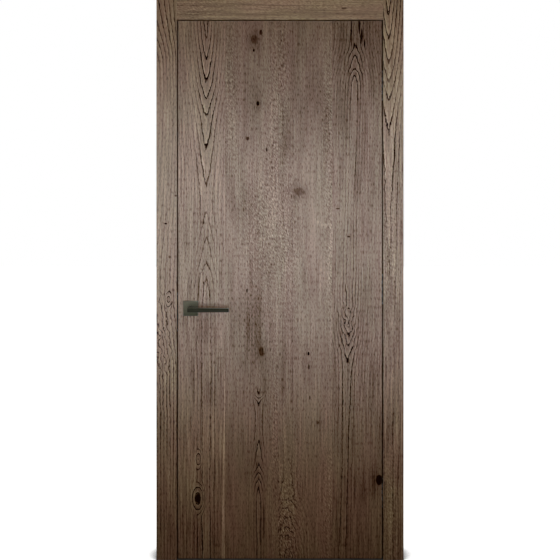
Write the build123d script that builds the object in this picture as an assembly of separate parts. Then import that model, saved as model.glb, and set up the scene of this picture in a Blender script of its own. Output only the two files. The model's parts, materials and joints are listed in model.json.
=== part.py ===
from build123d import *
import math
import os

# Sizes in millimetres. X runs to the right, Y away from the viewer and Z up from the floor.
# The origin is on the wall face of the hinge jamb, at the floor, in the middle of the wall.

# Leaf
leaf_width = 800
leaf_height = 2110
leaf_thickness = 44
plank_thickness = 4
plank_1_width = 184
plank_2_width = 208
plank_3_width = 213
lipping_width = 12
latch_bevel = 1.6

# Gaps round the leaf
side_gap = 5
head_gap = 5
floor_gap = 6
stop_gap = 6

# Frame and casings
wall_depth = 100
jamb_thickness = 40
stop_projection = 15
casing_width = 80
casing_thickness = 10
back_reveal = 5

# Fixing holes through the side jambs
fixing_radius = 3.5
fixing_head_radius = 7.5
fixing_head_depth = 6
fixing_low = 500
fixing_high = 1700

# Seal in the stop
seal_width = 7
seal_clearance = 0.5
seal_wall = 1.2
seal_round = 2.4
seal_inner_round = 1.2
stem_width = 2.6
stem_depth = 5
groove_clearance = 0.2

# Concealed hinges
swing_offset = 2
hinge_inset = 250
cup_land = 1
cup_wall = 1.2
cup_length = 124
cup_ear = 14
cup_plate = 3
mortise_clearance = 0.2
arm_thickness = 5
arm_half_span_deg = 60
arm_end_play_deg = 1.5
arm_height = 14
arm_pitch = 26
arm_count = 3
arm_clearance = 0.4
link_size = 3

# Lock and strike
lock_drop = 18
faceplate_width = 20
faceplate_length = 200
faceplate_thickness = 3
latch_rise = 40
latch_width = 12
latch_length = 24
latch_depth = 26
latch_clearance = 0.3
strike_width = 24
strike_length = 160
strike_thickness = 2
strike_pocket = 14
strike_clearance = 1.5

# Lever handle
handle_height = 988
backset = 50
rosette_size = 57
rosette_thickness = 9
rosette_chamfer = 0.8
rosette_bore_radius = 10
spindle_hole_radius = 9
collar_clearance = 0.4
collar_start = 1
neck_gap = 1
neck_width = 16
lever_reach = 152
lever_projection = 56
bar_thickness = 12
bar_height = 17
bar_tip_drop = 2
lever_bend_radius = 28
lever_chamfer = 0.8
spindle_size = 8
spindle_clearance = 0.1
spindle_reach = 28

# A right angle in degrees, also the direction of +Y
right_angle_deg = 90

# Positions that follow from the sizes
front_y = -wall_depth / 2 - casing_thickness
back_y = front_y + leaf_thickness
core_y0 = front_y + plank_thickness
core_y1 = back_y - plank_thickness
wall_y0 = -wall_depth / 2
wall_y1 = wall_depth / 2
stop_y = back_y + stop_gap
hinge_face = -jamb_thickness
leaf_x1 = hinge_face - side_gap
leaf_x0 = leaf_x1 - leaf_width
latch_face = leaf_x0 - side_gap
latch_wall = latch_face - jamb_thickness
leaf_z0 = floor_gap
leaf_z1 = leaf_z0 + leaf_height
head_face = leaf_z1 + head_gap
head_wall = head_face + jamb_thickness
middle_y = (front_y + back_y) / 2

# Hinge positions and radii, set by the depth of the jamb behind the front casing
axis_x = hinge_face - side_gap / 2
axis_y = front_y - swing_offset
slot_half_span_deg = arm_half_span_deg + arm_end_play_deg
cup_y0 = wall_y0 + cup_land
slot_in = (cup_y0 + cup_wall - axis_y) / math.cos(math.radians(slot_half_span_deg))
slot_out = slot_in + arm_thickness + 2 * arm_clearance
arm_in = slot_in + arm_clearance
arm_out = arm_in + arm_thickness
arm_radius = (arm_in + arm_out) / 2
cup_y1 = axis_y + slot_out + cup_wall
cup_width = cup_y1 - cup_y0
cup_depth = slot_out * math.sin(math.radians(slot_half_span_deg)) - side_gap / 2 + cup_wall
hinge_y = (cup_y0 + cup_y1) / 2
body_length = cup_length - 2 * cup_ear
hinge_top = leaf_z1 - hinge_inset
hinge_bottom = leaf_z0 + hinge_inset
hinge_heights = {
    "top": hinge_top,
    "middle": (hinge_top + hinge_bottom) / 2,
    "bottom": hinge_bottom,
}

# Lock and handle positions
handle_x = leaf_x0 + backset
lock_z = handle_height - lock_drop
latch_z = lock_z + latch_rise
latch_y0 = middle_y - latch_width / 2
latch_y1 = middle_y + latch_width / 2
collar_radius = rosette_bore_radius - collar_clearance


def block(x0, x1, y0, y1, z0, z1):
    """A plain block between two opposite corners."""
    centre = Pos((x0 + x1) / 2, (y0 + y1) / 2, (z0 + z1) / 2)
    return centre * Box(abs(x1 - x0), abs(y1 - y0), abs(z1 - z0))


def plan_prism(points, z0, z1):
    """An upright prism over a plan outline."""
    outline = make_face(Polyline(*points, close=True))
    return Pos(0, 0, z0) * extrude(outline, z1 - z0, dir=(0, 0, 1))


def slot_block(x0, x1, y, z, width, length):
    """An upright block with round ends, let into an edge from x0 to x1."""
    start = min(x0, x1)
    plane = Plane(origin=(start, y, z), x_dir=(0, 0, 1), z_dir=(1, 0, 0))
    return extrude(plane * SlotOverall(length, width), abs(x1 - x0), dir=(1, 0, 0))


def rod_x(x0, x1, y, z, radius):
    """A round bar along X."""
    return Pos((x0 + x1) / 2, y, z) * Rot(0, right_angle_deg, 0) * Cylinder(radius, abs(x1 - x0))


def rod_y(x, y0, y1, z, radius):
    """A round bar along Y."""
    return Pos(x, (y0 + y1) / 2, z) * Rot(right_angle_deg, 0, 0) * Cylinder(radius, abs(y1 - y0))


def ring_sector(r_in, r_out, half_span_deg, z0, z1):
    """A curved bar round the swing axis, as far to one side as to the other."""
    centre = (axis_x, axis_y)
    start_deg = right_angle_deg - half_span_deg
    outer = CenterArc(centre, r_out, start_deg, 2 * half_span_deg)
    inner = CenterArc(centre, r_in, start_deg, 2 * half_span_deg)
    ends = [Line(outer @ 0, inner @ 0), Line(outer @ 1, inner @ 1)]
    outline = make_face([outer, inner, *ends])
    return Pos(0, 0, z0) * extrude(outline, z1 - z0, dir=(0, 0, 1))


# Hinges


def arm_levels(z):
    """Heights of the stacked arms of the hinge at height z."""
    middle = (arm_count - 1) / 2
    return [z + (index - middle) * arm_pitch for index in range(arm_count)]


def cup_blank(face, inward, z, extra):
    """Face plate and body of a hinge cup, let into the edge at face."""
    plate_end = face + inward * (cup_plate + extra)
    body_end = face + inward * (cup_depth + extra)
    half_width = cup_width / 2 + extra
    half_length = body_length / 2 + extra
    plate = slot_block(face, plate_end, hinge_y, z, 2 * half_width, cup_length + 2 * extra)
    body = block(
        face, body_end, hinge_y - half_width, hinge_y + half_width, z - half_length, z + half_length
    )
    return plate + body


def hinge_cup(face, inward, z):
    """A cup with one curved slot for each arm."""
    half = arm_height / 2 + arm_clearance
    slots = [
        ring_sector(slot_in, slot_out, slot_half_span_deg, level - half, level + half)
        for level in arm_levels(z)
    ]
    return cup_blank(face, inward, z, 0) - slots


def hinge_arms(z):
    """The stacked curved arms of one hinge, joined by an upright bar."""
    half = arm_height / 2
    levels = arm_levels(z)
    arms = [
        ring_sector(arm_in, arm_out, arm_half_span_deg, level - half, level + half)
        for level in levels
    ]
    link = Pos(axis_x, axis_y + arm_radius, z) * Box(link_size, link_size, levels[-1] - levels[0])
    return link + arms


def mortises(face, inward):
    """Pockets for the hinge cups in the edge at face."""
    return [cup_blank(face, inward, z, mortise_clearance) for z in hinge_heights.values()]


# Frame


def fixing_holes(face, wall):
    """Screw holes through a side jamb, each with a wider mouth for the screw head."""
    inward = math.copysign(fixing_head_depth, wall - face)
    holes = []
    for z in (fixing_low, fixing_high):
        holes.append(rod_x(face, wall, middle_y, z, fixing_radius))
        holes.append(rod_x(face, face + inward, middle_y, z, fixing_head_radius))
    return holes


def latch_window(x0, x1, clearance):
    """Room for the latch bolt between two upright planes."""
    half = latch_length / 2 + clearance
    return block(
        x0, x1, latch_y0 - clearance, latch_y1 + clearance, latch_z - half, latch_z + half
    )


def strike_blank():
    """Outline of the strike plate, flush with the latch jamb."""
    return slot_block(
        latch_face - strike_thickness, latch_face, middle_y, lock_z, strike_width, strike_length
    )


def strike_plate():
    """Strike plate with the opening for the latch bolt."""
    return strike_blank() - latch_window(latch_face - strike_thickness, latch_face, strike_clearance)


def hinge_jamb():
    """Side jamb with the hinge pockets and the fixing holes."""
    board = block(hinge_face, 0, wall_y0, wall_y1, 0, head_wall)
    return board - mortises(hinge_face, 1) - fixing_holes(hinge_face, 0)


def latch_jamb():
    """Side jamb with the strike pocket and the fixing holes."""
    board = block(latch_wall, latch_face, wall_y0, wall_y1, 0, head_wall)
    pocket = latch_window(latch_face - strike_pocket, latch_face, strike_clearance)
    return board - strike_blank() - pocket - fixing_holes(latch_face, latch_wall)


def head_jamb():
    """Head jamb between the side jambs."""
    return block(latch_face, hinge_face, wall_y0, wall_y1, head_face, head_wall)


def seal_section(u, v):
    """Bulb and stem of the seal, drawn with u across the stop and v away from it."""
    bulb_height = stop_gap - seal_clearance
    bulb = Pos(u, v + bulb_height / 2) * Rectangle(seal_width, bulb_height)
    bulb = fillet(bulb.vertices().group_by(Axis.Y)[-1], seal_round)
    inner_height = bulb_height - 2 * seal_wall
    inner = Pos(u, v + bulb_height / 2) * RectangleRounded(
        seal_width - 2 * seal_wall, inner_height, seal_inner_round
    )
    stem = Pos(u, v - stem_depth / 2) * Rectangle(stem_width, stem_depth)
    return bulb + stem - inner


def groove_section(u, v):
    """Groove in the stop for the stem of the seal."""
    width = stem_width + 2 * groove_clearance
    depth = stem_depth + groove_clearance
    return Pos(u, v - depth / 2) * Rectangle(width, depth)


def upright_bar(section, z0, z1):
    """A section drawn on the stop's front, run upright."""
    plane = Plane(origin=(0, stop_y, z0), x_dir=(-1, 0, 0), z_dir=(0, 0, 1))
    return extrude(plane * section, z1 - z0, dir=(0, 0, 1))


def level_bar(section, x0, x1):
    """A section drawn on the stop's front, run level along X."""
    plane = Plane(origin=(x0, stop_y, 0), x_dir=(0, 0, 1), z_dir=(1, 0, 0))
    return extrude(plane * section, x1 - x0, dir=(1, 0, 0))


# The seal lies in the middle of the strip where the leaf covers the stop.
seal_inset = (side_gap + stop_projection) / 2
head_seal_inset = (head_gap + stop_projection) / 2


def side_stop(face, inward):
    """Planted stop on a side jamb, with the groove for its seal."""
    board = block(face, face + inward * stop_projection, stop_y, wall_y1, 0, head_face)
    return board - upright_bar(groove_section(-face - inward * seal_inset, 0), 0, head_face)


def side_seal(face, inward):
    """Seal of a side stop."""
    return upright_bar(seal_section(-face - inward * seal_inset, 0), 0, head_face)


def head_stop():
    """Planted stop on the head jamb, between the side stops."""
    x0 = latch_face + stop_projection
    x1 = hinge_face - stop_projection
    board = block(x0, x1, stop_y, wall_y1, head_face - stop_projection, head_face)
    return board - level_bar(groove_section(head_face - head_seal_inset, 0), x0, x1)


def head_seal():
    """Seal of the head stop, between the side seals."""
    x0 = latch_face + seal_inset + seal_width / 2
    x1 = hinge_face - seal_inset - seal_width / 2
    whole = level_bar(seal_section(head_face - head_seal_inset, 0), x0, x1)
    beyond = block(latch_wall, latch_face + stop_projection, stop_y, wall_y1, 0, head_wall)
    before = block(hinge_face - stop_projection, 0, stop_y, wall_y1, 0, head_wall)
    return whole - beyond - before


def casing_set(name, y0, y1, inset):
    """Two upright casings and a head casing between them."""
    x0 = latch_face + inset
    x1 = hinge_face - inset
    z0 = head_face - inset
    z1 = z0 + casing_width
    return {
        name + "_casing_latch_side": block(x0 - casing_width, x0, y0, y1, 0, z1),
        name + "_casing_hinge_side": block(x1, x1 + casing_width, y0, y1, 0, z1),
        name + "_casing_head": block(x0, x1, y0, y1, z0, z1),
    }


# Leaf


def latch_edge(y):
    """X of the bevelled latch edge at depth y."""
    return leaf_x0 + latch_bevel * (y - front_y) / leaf_thickness


def edge_band(x1, y0, y1, z0, z1):
    """A piece of the leaf from the bevelled latch edge to x1."""
    return plan_prism([(latch_edge(y0), y0), (x1, y0), (x1, y1), (latch_edge(y1), y1)], z0, z1)


def plank_seams():
    """X of the plank edges from the latch side to the hinge side; the last plank takes the rest."""
    seams = [leaf_x0]
    for width in (plank_1_width, plank_2_width, plank_3_width):
        seams.append(seams[-1] + width)
    return [*seams, leaf_x1]


def planks(name, y0, y1):
    """The oak planks of one face."""
    seams = plank_seams()
    hole = rod_y(handle_x, y0, y1, handle_height, spindle_hole_radius)
    made = {name + "_plank_1": edge_band(seams[1], y0, y1, leaf_z0, leaf_z1) - hole}
    for index in range(1, len(seams) - 1):
        plank = block(seams[index], seams[index + 1], y0, y1, leaf_z0, leaf_z1)
        made[f"{name}_plank_{index + 1}"] = plank
    return made


def latch_room():
    """Pocket for the latch bolt in the latch edge of the leaf."""
    return latch_window(leaf_x0, leaf_x0 + latch_depth + latch_clearance, latch_clearance)


def faceplate_blank():
    """Outline of the lock's faceplate, flush with the bevelled edge."""
    y0 = middle_y - faceplate_width / 2
    y1 = middle_y + faceplate_width / 2
    z0 = lock_z - faceplate_length / 2
    z1 = lock_z + faceplate_length / 2
    inner = [(latch_edge(y1) + faceplate_thickness, y1), (latch_edge(y0) + faceplate_thickness, y0)]
    band = plan_prism([(latch_edge(y0), y0), (latch_edge(y1), y1), *inner], z0, z1)
    inside = latch_edge(y1) + faceplate_thickness
    return band & slot_block(leaf_x0, inside, middle_y, lock_z, faceplate_width, faceplate_length)


def latch_bolt():
    """Latch bolt drawn back, flush with the faceplate."""
    half = latch_length / 2
    return edge_band(leaf_x0 + latch_depth, latch_y0, latch_y1, latch_z - half, latch_z + half)


def leaf_core():
    """Core between the lippings, with the hinge, latch and spindle cut-outs."""
    core = block(
        leaf_x0 + lipping_width,
        leaf_x1 - lipping_width,
        core_y0,
        core_y1,
        leaf_z0,
        leaf_z1 - lipping_width,
    )
    hole = rod_y(handle_x, core_y0, core_y1, handle_height, spindle_hole_radius)
    return core - mortises(leaf_x1, -1) - latch_room() - hole


def lippings():
    """Hardwood edges of the leaf."""
    inner_x0 = leaf_x0 + lipping_width
    inner_x1 = leaf_x1 - lipping_width
    latch = edge_band(inner_x0, core_y0, core_y1, leaf_z0, leaf_z1)
    hinge = block(inner_x1, leaf_x1, core_y0, core_y1, leaf_z0, leaf_z1)
    top = block(inner_x0, inner_x1, core_y0, core_y1, leaf_z1 - lipping_width, leaf_z1)
    return {
        "latch_lipping": latch - faceplate_blank() - latch_room(),
        "hinge_lipping": hinge - mortises(leaf_x1, -1),
        "top_lipping": top,
    }


# Handle


def other_side(piece):
    """The same piece on the back face of the leaf."""
    return mirror(piece, Plane.XZ.offset(-middle_y))


def rosette():
    """Square rosette on the front face, with the bore for the lever's collar."""
    half = rosette_size / 2
    face = front_y - rosette_thickness
    plate = block(
        handle_x - half, handle_x + half, face, front_y, handle_height - half, handle_height + half
    )
    plate = chamfer(plate.faces().sort_by(Axis.Y)[0].edges(), rosette_chamfer)
    return plate - rod_y(handle_x, face, front_y, handle_height, rosette_bore_radius)


def lever_plan():
    """Plan outline of neck and bar, with a wide bend on the inside."""
    neck_y = front_y - rosette_thickness - neck_gap
    bar_y0 = front_y - lever_projection
    bar_y1 = bar_y0 + bar_thickness
    left = handle_x - neck_width / 2
    right = handle_x + neck_width / 2
    tip = handle_x + lever_reach
    bend_centre = (right + lever_bend_radius, bar_y1 + lever_bend_radius)
    bend = CenterArc(bend_centre, lever_bend_radius, 2 * right_angle_deg, right_angle_deg)
    straight = Polyline(bend @ 1, (tip, bar_y1), (tip, bar_y0), (left, bar_y0), (left, neck_y))
    close = Polyline((left, neck_y), (right, neck_y), bend @ 0)
    return make_face([bend, straight, close])


def lever():
    """Lever on the front face: bar, neck and the collar that turns in the rosette."""
    half = bar_height / 2
    left = handle_x - neck_width
    tip = handle_x + lever_reach
    outline = [(left, -half), (tip, -half), (tip, half - bar_tip_drop), (left, half)]
    plane = Plane(origin=(0, front_y, handle_height), x_dir=(1, 0, 0), z_dir=(0, -1, 0))
    side = extrude(plane * make_face(Polyline(*outline, close=True)), lever_projection)
    bar = Pos(0, 0, handle_height - half) * extrude(lever_plan(), bar_height, dir=(0, 0, 1))
    bar = chamfer((bar & side).edges(), lever_chamfer)
    neck_y = front_y - rosette_thickness - neck_gap
    collar = rod_y(handle_x, neck_y, front_y - collar_start, handle_height, collar_radius)
    socket_half = spindle_size / 2 + spindle_clearance
    socket = block(
        handle_x - socket_half,
        handle_x + socket_half,
        front_y - spindle_reach - spindle_clearance,
        front_y - collar_start,
        handle_height - socket_half,
        handle_height + socket_half,
    )
    return bar + collar - socket


def handle_spindle():
    """Square bar that joins the two levers through the leaf."""
    half = spindle_size / 2
    return block(
        handle_x - half,
        handle_x + half,
        front_y - spindle_reach,
        back_y + spindle_reach,
        handle_height - half,
        handle_height + half,
    )


# Assembly


def frame_pieces():
    """Every piece that stays with the wall."""
    pieces = {
        "hinge_jamb": hinge_jamb(),
        "latch_jamb": latch_jamb(),
        "head_jamb": head_jamb(),
        "hinge_stop": side_stop(hinge_face, -1),
        "latch_stop": side_stop(latch_face, 1),
        "head_stop": head_stop(),
        "hinge_seal": side_seal(hinge_face, -1),
        "latch_seal": side_seal(latch_face, 1),
        "head_seal": head_seal(),
        "strike_plate": strike_plate(),
    }
    pieces.update(casing_set("front", front_y, wall_y0, 0))
    pieces.update(casing_set("back", wall_y1, wall_y1 + casing_thickness, stop_projection - back_reveal))
    return pieces


def leaf_pieces():
    """Every piece that swings with the leaf."""
    pieces = {
        "leaf_core": leaf_core(),
        "lock_faceplate": faceplate_blank() - latch_room(),
        "latch_bolt": latch_bolt(),
        "front_rosette": rosette(),
        "back_rosette": other_side(rosette()),
        "front_lever": lever(),
        "back_lever": other_side(lever()),
        "handle_spindle": handle_spindle(),
    }
    pieces.update(planks("front", front_y, core_y0))
    pieces.update(planks("back", core_y1, back_y))
    pieces.update(lippings())
    return pieces


def hinge_pieces():
    """Cups and arms of every hinge."""
    pieces = {}
    for name, z in hinge_heights.items():
        pieces["frame_hinge_cup_" + name] = hinge_cup(hinge_face, 1, z)
        pieces["leaf_hinge_cup_" + name] = hinge_cup(leaf_x1, -1, z)
        pieces["hinge_arms_" + name] = hinge_arms(z)
    return pieces


os.makedirs("parts", exist_ok=True)
for node, piece in {**frame_pieces(), **leaf_pieces(), **hinge_pieces()}.items():
    piece.label = node
    export_step(piece, f"parts/{node}.step")
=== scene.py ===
import json
import math
import random
from dataclasses import dataclass

import bmesh
import bpy
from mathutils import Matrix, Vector


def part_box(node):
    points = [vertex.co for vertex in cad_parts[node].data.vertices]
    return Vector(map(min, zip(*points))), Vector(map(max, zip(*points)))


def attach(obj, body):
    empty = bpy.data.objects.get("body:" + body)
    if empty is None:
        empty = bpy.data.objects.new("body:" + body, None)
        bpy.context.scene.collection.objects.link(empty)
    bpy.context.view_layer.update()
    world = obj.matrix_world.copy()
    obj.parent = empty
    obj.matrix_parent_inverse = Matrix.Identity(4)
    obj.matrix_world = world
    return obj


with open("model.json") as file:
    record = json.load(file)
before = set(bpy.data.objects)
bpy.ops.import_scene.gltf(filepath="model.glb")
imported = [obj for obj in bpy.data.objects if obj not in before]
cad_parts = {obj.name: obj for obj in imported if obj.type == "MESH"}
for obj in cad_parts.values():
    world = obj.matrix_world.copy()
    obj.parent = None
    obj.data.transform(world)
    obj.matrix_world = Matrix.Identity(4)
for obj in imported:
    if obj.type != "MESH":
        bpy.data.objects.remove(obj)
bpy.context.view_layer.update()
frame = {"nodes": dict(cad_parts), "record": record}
nodes = frame["nodes"]

# Places taken from the model, in metres
door_low = Vector(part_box("front_casing_latch_side")[0])
door_high = Vector(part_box("front_casing_hinge_side")[1])
leaf_low = Vector(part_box("front_plank_1")[0])
leaf_back = Vector(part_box("back_plank_1")[1])
front_y = leaf_low.y
leaf_middle_y = (leaf_low.y + leaf_back.y) / 2
door_height = door_high.z
door_middle = (door_low.x + door_high.x) / 2

# Camera: square to the door, a little above the middle
camera_distance = 3.0
camera_height = 1.38
sensor_width = 36.0
top_crop = 0.003

# Lamps: soft panels all round, and a wide strip on each side that only shows as sheen on its boards
lamp_colour = (1.0, 0.975, 0.93)
key_distance = 1.3
key_height = 1.30
key_aim = 1.50
key_size = (3.0, 1.8)
key_power = 26.5
back_power = 30.0
sheen_distance = 1.65
sheen_height = 1.24
sheen_aim = 1.40
sheen_size = (2.2, 1.5)
sheen_spread = 64.0
sheen_power = 81.0
side_distance = 2.4
side_size = (0.2, 1.8)
side_power = 40.0
top_forward = 0.25
top_height = 4.2
top_size = (2.0, 0.6)
top_power = 25.0
ambient_light = 0.025

# Floor: its greys under the lamps, the white that a viewer sees away from the door, and a painted contact
# shadow where the object stands close above it
floor_width = 30.0
floor_greys = (0.33, 0.36)
# Share of the floor's grey for rays that don't start at the camera, and in the painted contact shadow
floor_unseen_and_shadow = 0.1
floor_roughness = 0.9
floor_places = (0.2, 0.8)
floor_waves = 0.8
floor_glow = (0.93, 1.0)
floor_fade = (0.6, 5.0)
# Painted contact shadow on the floor: how far it looks for the object above, and the range over which it
# fades in
floor_shade = 0.15
painted_shadow_ramp = (0.48, 0.90)

white = (1.0, 1.0, 1.0)


class Field:
    """A number that varies over a surface. Arithmetic on fields adds Math nodes to their tree."""

    def __init__(self, tree, socket):
        self.tree = tree
        self.socket = socket

    def math(self, operation, *others):
        node = self.tree.nodes.new("ShaderNodeMath")
        node.operation = operation
        for slot, value in zip(node.inputs, (self, *others)):
            plug(self.tree, value, slot)
        return Field(self.tree, node.outputs[0])

    def __add__(self, other):
        return self.math("ADD", other)

    def __sub__(self, other):
        return self.math("SUBTRACT", other)

    def __mul__(self, other):
        return self.math("MULTIPLY", other)

    def __truediv__(self, other):
        return self.math("DIVIDE", other)

    def squared(self):
        return self.math("MULTIPLY", self)

    def root(self):
        return self.math("SQRT")

    def fraction(self):
        return self.math("FRACT")

    def fade(self):
        """One at zero, falling off like a bell curve in the field, which is a squared distance."""
        return (self * -1.0).math("EXPONENT")

    def ramp(self, start, end):
        """Smoothly from 0 at start to 1 at end."""
        node = self.tree.nodes.new("ShaderNodeMapRange")
        node.interpolation_type = "SMOOTHSTEP"
        plug(self.tree, self, node.inputs["Value"])
        plug(self.tree, start, node.inputs["From Min"])
        plug(self.tree, end, node.inputs["From Max"])
        return Field(self.tree, node.outputs["Result"])


def plug(tree, value, slot):
    """Link a field to a socket, or set a plain number on it."""
    if isinstance(value, Field):
        tree.links.new(value.socket, slot)
    else:
        slot.default_value = value


def noise(across, along, seed, detail=2.0, roughness=0.5):
    """Smooth noise between 0 and 1 over two scaled fields."""
    tree = across.tree
    join = tree.nodes.new("ShaderNodeCombineXYZ")
    plug(tree, across, join.inputs["X"])
    plug(tree, along, join.inputs["Y"])
    join.inputs["Z"].default_value = seed
    node = tree.nodes.new("ShaderNodeTexNoise")
    node.inputs["Scale"].default_value = 1.0
    node.inputs["Detail"].default_value = detail
    node.inputs["Roughness"].default_value = roughness
    tree.links.new(join.outputs["Vector"], node.inputs["Vector"])
    return Field(tree, node.outputs["Fac"])


def curve(value, points, top):
    """A smooth curve through listed points, for values from 0 to top on both axes."""
    reach, height = top
    node = value.tree.nodes.new("ShaderNodeFloatCurve")
    line = node.mapping.curves[0]
    spots = [(where / reach, level / height) for where, level in sorted(points)]
    line.points[0].location = spots[0]
    line.points[1].location = spots[-1]
    for spot in spots[1:-1]:
        line.points.new(*spot)
    node.mapping.update()
    plug(value.tree, value / reach, node.inputs["Value"])
    return Field(value.tree, node.outputs["Value"]) * height


def colour_ramp(value, stops):
    """Colours at places between 0 and 1."""
    node = value.tree.nodes.new("ShaderNodeValToRGB")
    while len(node.color_ramp.elements) < len(stops):
        node.color_ramp.elements.new(0.5)
    for element, (place, colour) in zip(node.color_ramp.elements, stops):
        element.position = place
        element.color = (*colour, 1.0)
    plug(value.tree, value, node.inputs["Fac"])
    return node.outputs["Color"]


def tint(tree, colour, factor, low, high):
    """Multiply a colour by a shade between two tints."""
    shade = tree.nodes.new("ShaderNodeMix")
    shade.data_type = "RGBA"
    plug(tree, factor, shade.inputs["Factor"])
    shade.inputs["A"].default_value = (*low, 1.0)
    shade.inputs["B"].default_value = (*high, 1.0)
    node = tree.nodes.new("ShaderNodeMix")
    node.data_type = "RGBA"
    node.blend_type = "MULTIPLY"
    node.inputs["Factor"].default_value = 1.0
    tree.links.new(colour, node.inputs["A"])
    tree.links.new(shade.outputs["Result"], node.inputs["B"])
    return node.outputs["Result"]


def grey(level):
    """A colour with the same level in every channel."""
    return (level, level, level)


def start_material(name, roughness):
    """A new material with its tree, its shader and the frame's coordinates as fields."""
    material = bpy.data.materials.new(name)
    material.use_nodes = True
    tree = material.node_tree
    shader = tree.nodes["Principled BSDF"]
    shader.inputs["Roughness"].default_value = roughness
    place = tree.nodes.new("ShaderNodeTexCoord")
    split = tree.nodes.new("ShaderNodeSeparateXYZ")
    tree.links.new(place.outputs["Object"], split.inputs["Vector"])
    fields = [Field(tree, output) for output in split.outputs]
    return material, tree, shader, fields


def set_material(node, material):
    """Make a material the only one of an object."""
    node.data.materials.clear()
    node.data.materials.append(material)


def normal_part(tree, axis):
    """How far a face looks along an axis of the frame, from -1 to 1."""
    place = tree.nodes.new("ShaderNodeTexCoord")
    split = tree.nodes.new("ShaderNodeSeparateXYZ")
    tree.links.new(place.outputs["Normal"], split.inputs["Vector"])
    return Field(tree, split.outputs[axis])


def add_bump(tree, shader, height, depth):
    """Relief from a height field, depth in metres."""
    node = tree.nodes.new("ShaderNodeBump")
    node.inputs["Distance"].default_value = depth
    node.inputs["Strength"].default_value = 1.0
    plug(tree, height, node.inputs["Height"])
    tree.links.new(node.outputs["Normal"], shader.inputs["Normal"])


# Smoked oak

oak_stops = (
    (0.00, (0.008, 0.0022, 0.0008)),
    (0.14, (0.034, 0.012, 0.004)),
    (0.34, (0.070, 0.033, 0.015)),
    (0.56, (0.124, 0.069, 0.038)),
    (0.78, (0.192, 0.121, 0.070)),
    (1.00, (0.310, 0.220, 0.135)),
)
oak_tints = ((1.05, 0.96, 0.98), (0.97, 1.02, 0.90))
hue_range = (-0.20, 0.20)
oak_light = 0.62
oak_relief = 0.00022
edge_turn = 0.9
sheen_boards = {side: bpy.data.collections.new(side + "_boards") for side in ("front", "back")}

# Gloss: pale wood on the broad faces shines, and less so at a flat angle
oak_roughness = 0.45
dark_roughness = 0.50
rough_values = (0.60, 0.18)
oak_shine = 0.1
shine_values = (0.05, 0.50)
shine_faces = (0.3, 0.7)
shine_angles = (0.70, 0.30)

# Rings: the range of the curves, how far the lines stray, and how wide and dark they are
board_reach = 2.3
ring_top = 20.0
slope_step = 0.01
least_aside = 0.001
wander_width = 0.012
waver_rings = 0.5
ragged_rings = 0.36
curl_rings = 3.0
least_slope = 8.0
line_share = 0.125
line_start = 0.0006
line_least = 0.003
# Pale band before each ring line: paler wood and a painted glint of the brushed ridge
pale_glint_phase = (0.55, 0.95)
strength_range = (-0.25, 0.25)
least_strength = 0.4
ring_dark = 1.05
ring_pale_glint = 0.20

# Strength of the finer marks in the wood's lightness
cloud_gain = 0.26
pore_range = (-0.02, 0.20)
pore_dark = 0.22
pore_dark_in_line = 0.30
fleck_slant = 0.35
fleck_gain = 0.9
fibre_gain = 0.8
fibre_gain_low = 0.5
fibre_heights = (1.1, 0.4)
# Painted shade: upright boards darker towards the floor, how much and over which heights
foot_painted_shade = 0.06
foot_shade_heights = (0.22, 0.06)

# Knots: sizes are shares of a knot's own size
knot_reach = 2.2
knot_blend = 0.66
knot_vigour = 0.8
knot_dark = 0.75
knot_edge = (1.5, 0.5)
knot_cloud = 0.8
knot_fibre = 0.6
shade_fall = 0.15

# Strip of pale sapwood along one edge, wider towards the floor
sapwood_top = 0.80
sapwood_full = 0.72
sapwood_root = -0.10
sapwood_width = 0.012
sapwood_edge = 0.002
sapwood_gain = 0.31


@dataclass
class Waves:
    """Noise in the wood: waves a metre across and along a board, and a step added to its seed."""

    across: float
    along: float
    step: float
    detail: float = 2.0
    roughness: float = 0.5


wander_waves = Waves(3.0, 1.6, 1.0)
waver_waves = Waves(30.0, 9.0, 2.0, detail=3.0)
ragged_waves = Waves(240.0, 60.0, 2.5, detail=1.0)
curl_waves = Waves(42.0, 30.0, 2.7)
strength_waves = Waves(14.0, 3.0, 3.0)
pore_waves = Waves(360.0, 60.0, 4.0, detail=1.0)
fibre_waves = Waves(200.0, 5.0, 5.0, roughness=0.6)
streak_waves = Waves(60.0, 3.0, 5.5, detail=3.0, roughness=0.6)
fleck_waves = Waves(230.0, 90.0, 7.0, detail=1.0)
cloud_waves = Waves(8.0, 2.4, 8.0, detail=3.0)
hue_waves = Waves(13.0, 3.0, 9.0)


@dataclass
class Spot:
    """A place on a board: across and along it, with half sizes."""

    across: float
    along: float
    width: float
    height: float


@dataclass
class Knot(Spot):
    """A knot or a smaller mark: its dark core, rings of its own and a shade around it, pale if negative."""

    dark: float = 1.0
    rings: float = 0.0
    shade: float = 0.0


@dataclass
class Board:
    """Figure of one board, with across counted from the latch edge of the leaf and along from the floor.

    On a level board, across is the height and along starts at the latch edge. Rings are numbered on the
    centre line at places along the board, and vigour says how clearly they show there.
    """

    centre: float
    rings: tuple = ((0.0, 5.5), (board_reach, 5.5))
    vigour: tuple = ((0.0, 0.4), (board_reach, 0.4))
    lean: float = 0.0
    spacing: float = 0.012
    point: float = 1.4
    line: float = 0.4
    reach: float = 0.05
    tone: float = 0.0
    fleck: float = 0.12
    fibre: float = 0.7
    streak: float = 0.3
    sapwood: float = 0.0
    seed: float = 0.0
    knots: tuple = ()
    flecks: tuple = ()
    curls: tuple = ()
    level: bool = False


def distance_from(spot, across, along):
    """Squared distance from a spot, one at its edge."""
    aside = (across - spot.across) / spot.width
    up = (along - spot.along) / spot.height
    return aside.squared() + up.squared()


def between(points, where):
    """Value at a place between listed points."""
    for (before, low), (after, high) in zip(points, points[1:]):
        if before <= where <= after:
            return low + (high - low) * (where - before) / (after - before)
    return points[-1][1]


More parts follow.
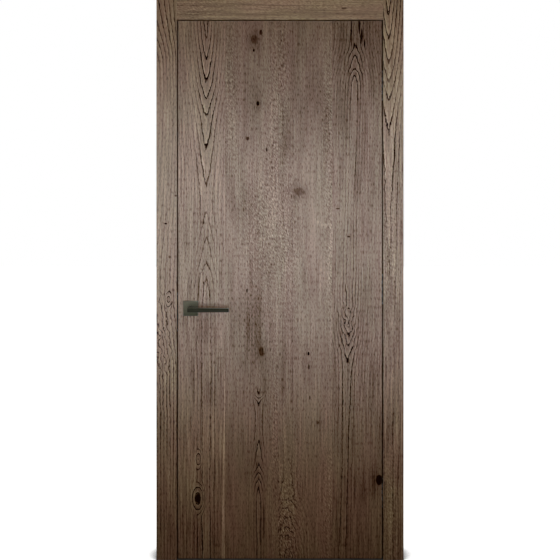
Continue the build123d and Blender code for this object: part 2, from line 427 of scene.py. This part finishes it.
def ring_number(board, across, along):
    """Number of the ring at one place of a board without its knots."""
    aside = abs(across - along * board.lean - board.centre) / board.spacing
    return (aside**board.point + between(board.rings, along) ** board.point) ** (1 / board.point)


def grain(across, along, board, waves):
    """Noise around zero on a board."""
    seed = board.seed + waves.step
    return noise(across * waves.across, along * waves.along, seed, waves.detail, waves.roughness) - 0.5


def plain_rings(across, along, board):
    """Place beside the centre line, number of the ring and its change a metre, without the knots."""
    wander = grain(across, along, board, wander_waves)
    offset = across - along * board.lean - board.centre + wander * wander_width
    aside = (offset / board.spacing).math("ABSOLUTE").math("MAXIMUM", least_aside)
    rise = curve(along, board.rings, (board_reach, ring_top))
    slope = (curve(along + slope_step, board.rings, (board_reach, ring_top)) - rise) / slope_step
    both = aside.math("POWER", board.point) + rise.math("POWER", board.point)
    rings = both.math("POWER", 1 / board.point)
    sideways = (aside / rings).math("POWER", board.point - 1) / board.spacing
    upward = (rise / rings).math("POWER", board.point - 1) * slope
    steep = (sideways.squared() + upward.squared()).root()
    return offset, rings, steep.math("MAXIMUM", least_slope)


def ring_strength(offset, across, along, board):
    """How clearly the rings show: most near the centre line and where the board has vigour."""
    near = (offset / board.reach).squared().fade()
    patchy = grain(across, along, board, strength_waves).ramp(*strength_range)
    patchy = patchy * (1.0 - least_strength) + least_strength
    beside = near * (1.0 - board.line) + board.line
    return patchy * beside * curve(along, board.vigour, (board_reach, 1.0))


def knot_rings(rings, strength, across, along, board):
    """Turn the rings round each knot that has its own."""
    for knot in board.knots:
        if not knot.rings:
            continue
        away = distance_from(knot, across, along).root()
        inside = away.ramp(knot_reach + knot_blend, knot_reach - knot_blend)
        first = ring_number(board, knot.across, knot.along) + knot.rings * knot_reach
        rings = rings + (away * -knot.rings - rings + first) * inside
        strength = strength.math("MAXIMUM", inside * knot_vigour)
    return rings, strength


def ring_lines(across, along, board):
    """Dark start of each ring and the pale band before it, paler wood with a painted glint of the brushed
    ridge, as arches where the rings rise.
    """
    offset, rings, steep = plain_rings(across, along, board)
    strength = ring_strength(offset, across, along, board)
    rings, strength = knot_rings(rings, strength, across, along, board)
    waver = grain(across, along, board, waver_waves) * waver_rings
    ragged = grain(across, along, board, ragged_waves) * ragged_rings
    rings = rings + waver + ragged
    for spot in board.curls:
        curl = grain(across, along, board, curl_waves) * curl_rings
        rings = rings + curl * distance_from(spot, across, along).fade()
    phase = rings.fraction()
    beyond = phase / steep
    thick = steep.math("POWER", -1.0) * line_share + line_least
    dark = beyond.ramp(0.0, line_start) * beyond.ramp(thick, thick * 0.5)
    return dark * strength, phase.ramp(*pale_glint_phase) * strength


def ray_flecks(across, along, board):
    """Short slanting flecks, stronger where the board's flecks gather."""
    slant = across + along * fleck_slant
    amount = board.fleck
    for spot in board.flecks:
        amount = distance_from(spot, across, along).fade() * fleck_gain + amount
    return grain(slant, along, board, fleck_waves) * amount


def mark_knots(value, across, along, board, ragged):
    """Darken the cores of the knots, with a ragged edge, and shade the wood around them."""
    for knot in board.knots:
        spot = distance_from(knot, across, along)
        if knot.shade:
            value = value - (spot * shade_fall).fade() * knot.shade
        value = value - (spot + ragged).ramp(*knot_edge) * (knot.dark * knot_dark)
    return value


def sapwood_strip(across, along, board):
    """Gain in lightness in the strip of sapwood."""
    width = along.ramp(sapwood_top, sapwood_root) * sapwood_width + sapwood_edge
    inside = (across + width - board.sapwood).ramp(-sapwood_edge, sapwood_edge)
    return inside * along.ramp(sapwood_top, sapwood_full) * sapwood_gain


def oak_value(across, along, board):
    """Lightness of the wood between 0 and 1, with the pores and ring lines in it."""
    dark, pale = ring_lines(across, along, board)
    pores = grain(across, along, board, pore_waves).ramp(*pore_range)
    fibre = grain(across, along, board, fibre_waves)
    streak = grain(across, along, board, streak_waves)
    cloud = grain(across, along, board, cloud_waves)
    coarse = along.ramp(*fibre_heights) * fibre_gain_low + fibre_gain
    value = fibre * coarse * board.fibre + streak * board.streak + cloud * cloud_gain
    value = value + (oak_light + board.tone) + ray_flecks(across, along, board)
    # Painted shade: darker towards the floor
    if not board.level:
        value = value - along.ramp(*foot_shade_heights) * foot_painted_shade
    # Ring lines darken the wood; the pale band before them is paler wood with a painted glint
    value = value - dark * ring_dark + pale * ring_pale_glint
    value = value - pores * (dark * pore_dark_in_line + pore_dark)
    ragged = cloud * knot_cloud + fibre * knot_fibre
    value = mark_knots(value, across, along, board, ragged)
    if board.sapwood:
        value = value + sapwood_strip(across, along, board)
    return value


def oak_gloss(tree, value):
    """Specular level of the oak: pale wood on the broad faces, seen square on."""
    face = normal_part(tree, "Y").math("ABSOLUTE").ramp(*shine_faces)
    turn = tree.nodes.new("ShaderNodeLayerWeight")
    square_on = Field(tree, turn.outputs["Facing"]).ramp(*shine_angles)
    return value.ramp(*shine_values) * face * square_on * oak_shine


def oak(name, board):
    """Brushed smoked oak: rings, pores, fibres, ray flecks, cloudy tone and knots."""
    material, tree, shader, (x, y, z) = start_material(name, oak_roughness)
    side = (y - front_y) * edge_turn
    if board.level:
        across, along = z + side, x - leaf_low.x
    else:
        across, along = x - leaf_low.x + side, z
    value = oak_value(across, along, board)
    colour = colour_ramp(value, oak_stops)
    hue = grain(across, along, board, hue_waves).ramp(*hue_range)
    tree.links.new(tint(tree, colour, hue, *oak_tints), shader.inputs["Base Color"])
    rough = value.ramp(*rough_values) * dark_roughness + oak_roughness
    plug(tree, rough, shader.inputs["Roughness"])
    shader.inputs["Specular IOR Level"].default_value = oak_shine
    plug(tree, oak_gloss(tree, value), shader.inputs["Specular IOR Level"])
    add_bump(tree, shader, value, oak_relief)
    return material


boards = {
    "front_plank_1": Board(
        centre=0.110,
        rings=(
            (0.00, 3.5), (0.55, 3.5), (0.98, 3.5), (1.10, 4.0), (1.159, 5.0), (1.254, 6.0),
            (1.352, 7.0), (1.40, 7.3), (1.478, 7.0), (1.631, 6.0), (1.749, 5.0), (1.82, 4.0),
            (1.886, 3.0), (1.977, 2.0), (2.067, 1.0), (2.20, 0.2),
        ),
        vigour=(
            (0.0, 0.8), (0.25, 1.0), (0.45, 0.9), (0.7, 0.5), (1.2, 0.35), (1.4, 0.5), (1.55, 0.8),
            (2.2, 1.0),
        ),
        reach=0.032,
        line=0.15,
        tone=-0.01,
        fibre=0.9,
        sapwood=0.184,
        seed=10.0,
        knots=(
            Knot(0.078, 0.242, 0.0095, 0.018, shade=0.12),
            Knot(0.077, 0.242, 0.0140, 0.030, dark=0.0, rings=1.4),
            Knot(0.090, 1.800, 0.0500, 0.110, dark=0.0, shade=-0.09),
            Knot(0.090, 0.920, 0.0500, 0.030, dark=0.0, shade=0.07),
            Knot(0.090, 0.500, 0.0500, 0.110, dark=0.0, shade=-0.07),
            Knot(0.079, 0.395, 0.008, 0.020, dark=0.1, rings=1.0),
        ),
    ),
    "front_plank_2": Board(
        centre=0.317,
        rings=(
            (0.0, 0.6), (0.10, 0.6), (0.22, 0.7), (0.275, 1.0), (0.314, 2.0), (0.342, 3.0),
            (0.369, 4.0), (0.452, 5.0), (0.53, 5.5), (0.617, 5.0), (0.637, 4.0), (0.656, 3.0),
            (0.75, 2.5), (board_reach, 2.5),
        ),
        vigour=((0.0, 0.9), (0.5, 0.8), (0.66, 0.6), (0.72, 0.1), (1.9, 0.1), (2.2, 0.4)),
        spacing=0.010,
        point=1.3,
        line=0.02,
        reach=0.016,
        fibre=0.5,
        flecks=(
            Spot(0.205, 1.85, 0.030, 0.30),
            Spot(0.330, 1.30, 0.080, 0.28),
            Spot(0.385, 1.75, 0.030, 0.40),
            Spot(0.385, 0.40, 0.022, 0.45),
        ),
        seed=20.0,
        knots=(
            Knot(0.299, 2.044, 0.013, 0.018, dark=0.25, shade=0.14),
            Knot(0.290, 2.060, 0.060, 0.060, dark=0.0, shade=0.05),
            Knot(0.285, 1.830, 0.050, 0.070, dark=0.0, shade=0.09),
            Knot(0.285, 0.720, 0.050, 0.050, dark=0.0, shade=0.07),
            Knot(0.280, 0.970, 0.040, 0.080, dark=0.0, shade=0.12),
            Knot(0.290, 0.360, 0.050, 0.080, dark=0.0, shade=0.08),
            Knot(0.325, 2.071, 0.006, 0.010, dark=0.5),
            Knot(0.297, 2.000, 0.004, 0.006, dark=0.7),
            Knot(0.313, 1.792, 0.006, 0.009, dark=0.65, shade=0.10),
            Knot(0.273, 1.654, 0.006, 0.007, dark=0.5),
            Knot(0.348, 1.611, 0.0035, 0.008, dark=0.6),
            Knot(0.262, 1.395, 0.030, 0.040, dark=0.0, shade=0.07),
            Knot(0.270, 1.057, 0.0025, 0.008, dark=0.8),
            Knot(0.328, 0.818, 0.009, 0.018, dark=0.25, shade=0.12),
            Knot(0.337, 0.150, 0.0030, 0.070, dark=0.6),
            Knot(0.322, 0.110, 0.0025, 0.050, dark=0.4),
        ),
    ),
    "front_plank_3": Board(
        centre=0.430,
        rings=(
            (0.0, 1.0), (0.05, 2.0), (0.10, 3.2), (0.16, 4.6), (0.21, 6.0), (0.26, 7.2), (0.30, 7.5),
            (0.50, 7.5), (board_reach, 7.5),
        ),
        vigour=((0.0, 0.75), (0.25, 0.6), (0.4, 0.25), (0.6, 0.15), (2.2, 0.12)),
        line=0.1,
        fibre=0.5,
        seed=30.0,
        curls=(Spot(0.430, 0.12, 0.06, 0.22),),
        flecks=(
            Spot(0.405, 1.90, 0.030, 0.28),
            Spot(0.595, 1.75, 0.028, 0.32),
            Spot(0.420, 1.25, 0.050, 0.30),
            Spot(0.600, 1.20, 0.020, 0.30),
            Spot(0.430, 0.15, 0.060, 0.30),
            Spot(0.595, 0.20, 0.030, 0.30),
            Spot(0.420, 0.12, 0.040, 0.18),
        ),
        knots=(
            Knot(0.431, 1.623, 0.020, 0.026, dark=0.0, shade=0.08),
            Knot(0.510, 1.980, 0.050, 0.090, dark=0.0, shade=0.11),
            Knot(0.490, 1.780, 0.050, 0.060, dark=0.0, shade=0.07),
            Knot(0.490, 0.780, 0.050, 0.050, dark=0.0, shade=0.07),
            Knot(0.478, 1.446, 0.020, 0.015, dark=0.15, shade=0.12),
            Knot(0.536, 1.340, 0.004, 0.0025, dark=0.0, shade=-0.13),
            Knot(0.550, 1.326, 0.005, 0.0025, dark=0.0, shade=-0.13),
            Knot(0.582, 1.314, 0.010, 0.0025, dark=0.0, shade=-0.16),
            Knot(0.512, 0.810, 0.004, 0.007, dark=0.8),
            Knot(0.513, 0.758, 0.003, 0.010, dark=0.6),
            Knot(0.517, 0.637, 0.003, 0.008, dark=0.6),
            Knot(0.549, 0.538, 0.006, 0.006, dark=0.3, shade=0.10),
        ),
    ),
    "front_plank_4": Board(
        centre=0.644,
        lean=0.0257,
        rings=(
            (0.0, 5.5), (0.60, 5.5), (0.794, 5.0), (0.845, 4.0), (0.892, 3.0), (0.951, 2.0), (1.0, 1.5),
            (1.40, 1.5), (1.86, 1.5), (1.90, 2.0), (1.926, 3.0), (1.977, 4.0), (2.02, 5.0), (2.2, 5.6),
        ),
        vigour=(
            (0.0, 0.35), (0.5, 0.6), (0.8, 0.8), (1.1, 0.6), (1.3, 0.25), (1.7, 0.4), (1.9, 0.9),
            (2.2, 1.0),
        ),
        spacing=0.010,
        reach=0.030,
        line=0.18,
        tone=-0.06,
        seed=40.0,
        curls=(Spot(0.665, 0.94, 0.05, 0.11),),
        knots=(
            # Knot hole at the latch edge: the knot's dark core doubled, painted shade of its open hole
            Knot(0.7895, 0.314, 0.0115, 0.019, dark=2.0, shade=0.12),
            Knot(0.714, 0.275, 0.030, 0.030, dark=0.0, shade=0.14),
            Knot(0.720, 2.060, 0.050, 0.070, dark=0.0, shade=0.11),
            Knot(0.730, 1.150, 0.040, 0.070, dark=0.0, shade=-0.06),
            Knot(0.627, 1.379, 0.008, 0.003, dark=0.5),
            Knot(0.680, 2.070, 0.0030, 0.060, dark=0.5),
            Knot(0.711, 2.100, 0.0040, 0.030, dark=0.7),
            Knot(0.721, 2.058, 0.0040, 0.028, dark=0.7),
            Knot(0.732, 2.026, 0.0030, 0.016, dark=0.6),
            Knot(0.670, 1.269, 0.006, 0.003, dark=0.6),
        ),
    ),
    "front_casing_latch_side": Board(
        centre=-0.115,
        rings=(
            (0.0, 1.0), (0.5, 1.5), (0.75, 2.5), (0.85, 4.0), (1.0, 6.0), (1.1, 6.0), (1.5, 3.5),
            (1.85, 2.0), (1.95, 2.5), (2.0, 3.5), (2.1, 5.5), (2.2, 6.5),
        ),
        vigour=(
            (0.0, 0.3), (0.3, 0.4), (0.55, 0.6), (0.95, 0.7), (1.05, 0.4), (1.4, 0.2), (1.9, 0.25),
            (2.0, 0.7), (2.2, 0.8),
        ),
        point=2.0,
        line=0.9,
        curls=(Spot(-0.060, 0.85, 0.05, 0.20),),
        tone=0.08,
        seed=50.0,
        knots=(
            Knot(-0.049, 1.320, 0.006, 0.003, dark=0.8),
            Knot(-0.009, 1.430, 0.004, 0.004, dark=0.6),
            Knot(-0.033, 1.190, 0.005, 0.005, dark=0.4),
            Knot(-0.037, 1.022, 0.007, 0.016, dark=0.1, rings=0.9),
            Knot(-0.045, 2.080, 0.060, 0.080, dark=0.0, shade=-0.07),
            Knot(-0.045, 0.150, 0.060, 0.060, dark=0.0, shade=0.10),
        ),
    ),
    "front_casing_hinge_side": Board(
        centre=0.8257,
        rings=(
            (0.0, 7.5), (0.6, 7.5), (1.2, 7.0), (1.50, 6.6), (1.694, 6.0), (1.816, 5.0),
            (1.890, 4.0), (1.961, 3.0), (2.055, 2.0), (2.15, 1.0), (2.25, 0.2),
        ),
        vigour=((0.0, 0.4), (1.2, 0.35), (1.45, 0.55), (1.65, 0.9), (2.2, 1.0)),
        line=0.45,
        reach=0.035,
        tone=0.03,
        fibre=1.0,
        seed=60.0,
        knots=(
            Knot(0.840, 1.920, 0.040, 0.140, dark=0.0, shade=-0.20),
            Knot(0.840, 0.920, 0.040, 0.060, dark=0.0, shade=0.07),
        ),
        flecks=(Spot(0.830, 0.20, 0.030, 0.28), Spot(0.830, 1.20, 0.030, 0.25)),
    ),
    "front_casing_head": Board(
        centre=2.16,
        vigour=((0.0, 0.3), (0.3, 0.2), (board_reach, 0.2)),
        tone=0.19,
        seed=70.0,
        flecks=(Spot(2.165, 0.07, 0.060, 0.09), Spot(2.180, 0.45, 0.030, 0.30)),
        level=True,
        knots=(
            Knot(2.165, 0.651, 0.004, 0.010, dark=0.8),
            Knot(2.195, 0.350, 0.004, 0.200, dark=0.0, shade=-0.14),
            Knot(2.125, 0.350, 0.003, 0.150, dark=0.0, shade=-0.10),
            Knot(2.160, 0.070, 0.020, 0.030, dark=0.0, shade=0.10),
        ),
    ),
}


# Boards that the front view hides
arch_heights = (0.7, 1.7)
arch_vigours = (0.15, 0.7)
arch_aside = 0.08
tone_spread = 0.05
first_seed = 100.0
seed_step = 7.0


def plain_board(name, seed, level):
    """Figure of a hidden board: one run of arches at a height of its own."""
    dice = random.Random(name)
    low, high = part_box(name)
    middle = [(a + b) / 2 for a, b in zip(low, high)]
    turned = (middle[1] - front_y) * edge_turn
    across = middle[2] + turned if level else middle[0] - leaf_low.x + turned
    peak = dice.uniform(*arch_heights)
    figure = dice.uniform(*arch_vigours)
    return Board(
        centre=across + dice.uniform(-arch_aside, arch_aside),
        rings=((0.0, 5.5), (peak - 0.5, 5.0), (peak, 1.0), (peak + 0.1, 0.8), (board_reach, 5.0)),
        vigour=(
            (0.0, figure * 0.6), (peak - 0.4, figure), (peak + 0.3, figure), (board_reach, figure * 0.5),
        ),
        reach=0.035,
        line=0.2,
        tone=dice.uniform(-tone_spread, tone_spread),
        seed=seed,
        level=level,
    )


def dress_oak():
    """Give every oak piece its own figure."""
    seed = first_seed
    slots = {part["node"]: part["material_slot"] for part in frame["record"]["subparts"]}
    for name, node in nodes.items():
        if slots[name] != "smoked_oak":
            continue
        seed += seed_step
        level = "head" in name or name == "top_lipping"
        board = boards.get(name) or plain_board(name, seed, level)
        set_material(node, oak("oak." + name, board))
        side = name.split("_")[0]
        if side in sheen_boards:
            sheen_boards[side].objects.link(node)


# Metal, rubber and core

# Colour, roughness and how much paler the metal is painted on its upward faces, a painted highlight
metal_finishes = {
    "handle_bronze": ((0.024, 0.024, 0.017), 0.36, 3.5),
    "dark_metal": ((0.070, 0.064, 0.054), 0.55, 1.0),
    "bare_steel": ((0.42, 0.41, 0.39), 0.33, 1.0),
}
metal_waves = 60.0
metal_waves_deep = 40.0
metal_light = 1.25
metal_uneven = 0.15
metal_places = (0.25, 0.8)
# Painted highlight on upward metal faces: how far a face looks up, from no highlight to full
highlight_faces = (0.5, 0.9)
# Rosette colours from bottom to top: painted shade below, painted light above
rosette_top_light_stops = ((0.1, (0.060, 0.062, 0.042)), (0.95, (0.118, 0.115, 0.086)))
rosette_roughness = 0.45
rosette_waves = 90.0
rosette_mottle = 0.4
rubber_stops = ((0.2, (0.010, 0.008, 0.007)), (0.9, (0.028, 0.023, 0.019)))
rubber_waves = (300.0, 40.0)
core_stops = ((0.2, (0.30, 0.18, 0.09)), (0.8, (0.52, 0.36, 0.21)))
core_waves = (40.0, 300.0, 5.0)
matt_roughness = 0.7


def metal(name, colour, roughness, top_highlight):
    """Satin metal with a faint uneven finish, and a painted highlight that makes upward faces paler by the
    given factor.
    """
    material, tree, shader, (x, y, z) = start_material(name, roughness)
    cloud = noise(x * metal_waves, z * metal_waves + y * metal_waves_deep, seed=3.0, detail=3.0)
    light = tuple(channel * metal_light for channel in colour)
    shade = colour_ramp(cloud, tuple(zip(metal_places, (colour, light))))
    # Painted highlight: upward faces paler, standing in for light from above
    top = normal_part(tree, "Z").ramp(*highlight_faces)
    shade = tint(tree, shade, top, white, grey(top_highlight))
    tree.links.new(shade, shader.inputs["Base Color"])
    shader.inputs["Metallic"].default_value = 1.0
    plug(tree, cloud * metal_uneven + roughness, shader.inputs["Roughness"])
    return material


def rosette_bronze():
    """Bronze of the rosettes with a mottled finish and painted light: paler towards the top, darker towards
    the bottom.
    """
    low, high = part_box("front_rosette")
    material, tree, shader, (x, y, z) = start_material("rosette_bronze", rosette_roughness)
    mottle = noise(x * rosette_waves, z * rosette_waves, seed=5.0, detail=3.0) - 0.5
    # Painted light: paler with height on the rosette, over the mottled finish
    top_light_and_mottle = (z - low[2]) / (high[2] - low[2]) + mottle * rosette_mottle
    tree.links.new(colour_ramp(top_light_and_mottle, rosette_top_light_stops), shader.inputs["Base Color"])
    shader.inputs["Metallic"].default_value = 1.0
    return material


def plain_rubber():
    """Dark seal rubber."""
    material, tree, shader, (x, y, z) = start_material("seal_rubber", matt_roughness)
    across, along = rubber_waves
    cloud = noise(x * across, z * along, seed=2.0)
    tree.links.new(colour_ramp(cloud, rubber_stops), shader.inputs["Base Color"])
    return material


def core_wood():
    """Sawn softwood of the core."""
    material, tree, shader, (x, y, z) = start_material("core_wood", matt_roughness)
    across, deep, along = core_waves
    sawn = noise(x * across + y * deep, z * along, seed=1.0, detail=4.0)
    tree.links.new(colour_ramp(sawn, core_stops), shader.inputs["Base Color"])
    return material


def dress_rest():
    """Materials of everything that isn't oak."""
    finishes = {name: metal(name, *finish) for name, finish in metal_finishes.items()}
    finishes["seal_rubber"] = plain_rubber()
    finishes["core_wood"] = core_wood()
    for part in frame["record"]["subparts"]:
        if part["material_slot"] in finishes:
            set_material(nodes[part["node"]], finishes[part["material_slot"]])
    bronze = rosette_bronze()
    for name in ("front_rosette", "back_rosette"):
        set_material(nodes[name], bronze)
    return finishes


# Fine parts

screw_radius = 0.0038
screw_rise = 0.0004
socket_radius = 0.0015
socket_depth = 0.0009
socket_lobes = 6
lobe_depth = 0.22
screw_steps = 24
faceplate_screw = 0.088
strike_screw = 0.070
cup_screw = 0.055
probe_start = 0.1
eased_edge = 0.0005


def screw_rings():
    """Rings of a countersunk head with a lobed socket: radius, depth of the lobes and height."""
    return (
        (screw_radius, 0.0, 0.0),
        (screw_radius * 0.95, 0.0, screw_rise * 0.6),
        (screw_radius * 0.85, 0.0, screw_rise),
        (socket_radius, lobe_depth, screw_rise),
        (socket_radius * 0.92, lobe_depth, screw_rise - socket_depth),
    )


def add_screw(mesh, place, outward):
    """One screw head in a mesh, at a place on a plate that looks outward."""
    turn = Vector(outward).to_track_quat("Z", "Y").to_matrix()
    loops = []
    for radius, lobe, height in screw_rings():
        loop = []
        for step in range(screw_steps):
            angle = math.tau * step / screw_steps
            reach = radius * (1.0 - lobe * (0.5 + 0.5 * math.cos(socket_lobes * angle)))
            spot = turn @ Vector((reach * math.cos(angle), reach * math.sin(angle), height))
            loop.append(mesh.verts.new(Vector(place) + spot))
        loops.append(loop)
    for inner, outer in zip(loops[1:], loops):
        for step in range(screw_steps):
            after = (step + 1) % screw_steps
            mesh.faces.new((outer[step], outer[after], inner[after], inner[step]))
    mesh.faces.new(loops[-1])


def screw_pair(name, spread, inward, body, material):
    """Two screws above and below the middle of a plate, on the face met when looking inward."""
    low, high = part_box(name)
    middle = (Vector(low) + Vector(high)) / 2
    mesh = bmesh.new()
    for offset in (-spread, spread):
        start = Vector((middle.x - inward * probe_start, middle.y, middle.z + offset))
        _, place, outward, _ = nodes[name].ray_cast(start, (inward, 0.0, 0.0))
        add_screw(mesh, place, outward)
    data = bpy.data.meshes.new("screws." + name)
    mesh.to_mesh(data)
    mesh.free()
    piece = bpy.data.objects.new("screws." + name, data)
    bpy.context.scene.collection.objects.link(piece)
    set_material(piece, material)
    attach(piece, body)


def add_screws(material):
    """Screws of the lock plates and of every hinge cup."""
    screw_pair("lock_faceplate", faceplate_screw, 1.0, "leaf", material)
    screw_pair("strike_plate", strike_screw, -1.0, "frame", material)
    for height in ("top", "middle", "bottom"):
        screw_pair("leaf_hinge_cup_" + height, cup_screw, -1.0, "leaf", material)
        screw_pair("frame_hinge_cup_" + height, cup_screw, 1.0, "frame", material)


def ease_edges():
    """Slightly rounded edges on the handle and its rosettes."""
    for name in ("front_lever", "back_lever", "front_rosette", "back_rosette"):
        bevel = nodes[name].modifiers.new("eased", "BEVEL")
        bevel.width = eased_edge
        bevel.segments = 2
        bevel.limit_method = "ANGLE"
        bevel.harden_normals = True


# Stage


def add_camera():
    """Camera that looks straight ahead, with the door from the floor to its top edge in the picture."""
    data = bpy.data.cameras.new("camera")
    data.sensor_width = sensor_width
    shown = door_height - top_crop
    data.lens = sensor_width * camera_distance / shown
    data.shift_y = 0.5 - camera_height / shown
    camera = bpy.data.objects.new("camera", data)
    camera.location = (door_middle, front_y - camera_distance, camera_height)
    camera.rotation_euler = (math.radians(90), 0, 0)
    bpy.context.scene.collection.objects.link(camera)
    bpy.context.scene.camera = camera


def add_lamp(name, place, target, size, power):
    """A rectangular soft light that faces its target, out of sight itself."""
    data = bpy.data.lights.new(name, "AREA")
    data.shape = "RECTANGLE"
    data.size, data.size_y = size
    data.energy = power
    data.color = lamp_colour
    data.cycles.use_multiple_importance_sampling = False
    lamp = bpy.data.objects.new(name, data)
    lamp.location = place
    lamp.rotation_euler = (Vector(target) - Vector(place)).to_track_quat("-Z", "Y").to_euler()
    lamp.visible_camera = False
    bpy.context.scene.collection.objects.link(lamp)
    return lamp


def add_lamps():
    """A panel and a sheen strip in front and behind, softer panels at the sides and one above."""
    middle = (door_middle, 0.0, key_height)
    for name, side, power in (("front", -1.0, key_power), ("back", 1.0, back_power)):
        place = (door_middle, leaf_middle_y + side * key_distance, key_height)
        panel = add_lamp(name, place, (door_middle, 0.0, key_aim), key_size, power)
        panel.visible_glossy = False
        place = (door_middle, leaf_middle_y + side * sheen_distance, sheen_height)
        target = (door_middle, 0.0, sheen_aim)
        sheen = add_lamp(name + "_sheen", place, target, sheen_size, sheen_power)
        sheen.visible_diffuse = False
        sheen.light_linking.receiver_collection = sheen_boards[name]
        sheen.data.spread = math.radians(sheen_spread)
    for name, side in (("left", -1.0), ("right", 1.0)):
        place = (door_middle + side * side_distance, 0.0, key_height)
        panel = add_lamp(name, place, middle, side_size, side_power)
        panel.visible_glossy = False
    add_lamp("top", (door_middle, -top_forward, top_height), middle, top_size, top_power)


def seen_background(tree):
    """One for a camera, mirrored or transmitted ray, else zero."""
    path = tree.nodes.new("ShaderNodeLightPath")
    camera = Field(tree, path.outputs["Is Camera Ray"])
    through = Field(tree, path.outputs["Is Transmission Ray"])
    mirrored = Field(tree, path.outputs["Is Glossy Ray"])
    return camera.math("MAXIMUM", through).math("MAXIMUM", mirrored)


def add_world():
    """White background, with a low even light on the object."""
    world = bpy.data.worlds.new("world")
    world.use_nodes = True
    tree = world.node_tree
    shade = tree.nodes["Background"]
    shade.inputs["Color"].default_value = (*white, 1.0)
    seen = seen_background(tree)
    plug(tree, seen.math("MAXIMUM", ambient_light), shade.inputs["Strength"])
    bpy.context.scene.world = world


def add_floor():
    """Pale floor that keeps the shadow of the lamps, with a painted contact shadow under and beside the
    object.
    """
    bpy.ops.mesh.primitive_plane_add(size=floor_width, location=(door_middle, 0.0, 0.0))
    floor = bpy.context.object
    floor.name = "floor"
    material, tree, shader, (x, y, z) = start_material("floor", floor_roughness)
    cloud = noise(x * floor_waves, y * floor_waves, seed=1.0)
    colour = colour_ramp(cloud, tuple(zip(floor_places, map(grey, floor_greys))))
    path = tree.nodes.new("ShaderNodeLightPath")
    seen = Field(tree, path.outputs["Is Camera Ray"])
    # Painted contact shadow: darker colour and no glow where the object stands close above
    painted_shadow_ao = tree.nodes.new("ShaderNodeAmbientOcclusion")
    painted_shadow_ao.inputs["Distance"].default_value = floor_shade
    clear = Field(tree, painted_shadow_ao.outputs["AO"]).ramp(*painted_shadow_ramp)
    colour = tint(tree, colour, seen * clear, grey(floor_unseen_and_shadow), white)
    tree.links.new(colour, shader.inputs["Base Color"])
    near, far = floor_glow
    far_off = (x.squared() + y.squared()).ramp(*floor_fade)
    # The glow fades out in the painted contact shadow
    glow = seen_background(tree) * clear * (far_off * (far - near) + near)
    shader.inputs["Emission Color"].default_value = (*white, 1.0)
    plug(tree, glow, shader.inputs["Emission Strength"])
    set_material(floor, material)


dress_oak()
add_screws(dress_rest()["bare_steel"])
ease_edges()
add_camera()
add_lamps()
add_world()
add_floor()
bpy.context.scene.view_settings.view_transform = "Standard"
